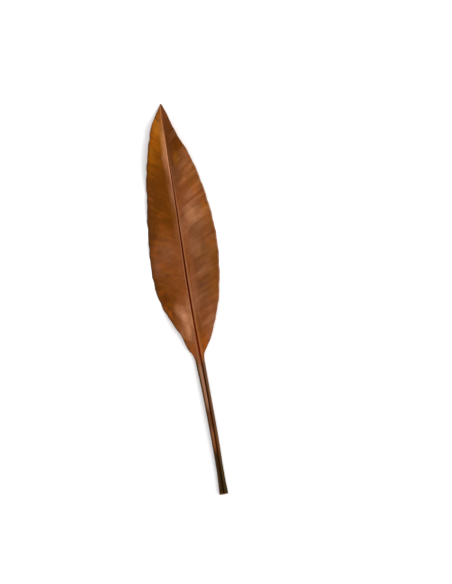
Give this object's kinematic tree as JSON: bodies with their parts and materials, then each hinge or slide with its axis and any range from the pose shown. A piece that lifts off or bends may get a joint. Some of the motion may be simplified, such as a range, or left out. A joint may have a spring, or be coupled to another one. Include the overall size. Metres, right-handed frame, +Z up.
{
  "type": "preserved tropical leaf",
  "caption": "Long lanceolate tropical leaf, dried and preserved, with a gently waved blade, a grooved midrib and a cut stalk, lying on its underside.",
  "frame": {"origin": "on the surface that the leaf lies on, below the middle of its outline", "axes": "+Y along the midrib towards the tip, +X to the right of the upper face as seen from above, +Z up"},
  "size_m": [0.082, 0.46, 0.0149],
  "materials": {
    "leaf": "satin"
  },
  "bodies": {
    "root": {"leaf": "leaf"}
  },
  "joints": []
}
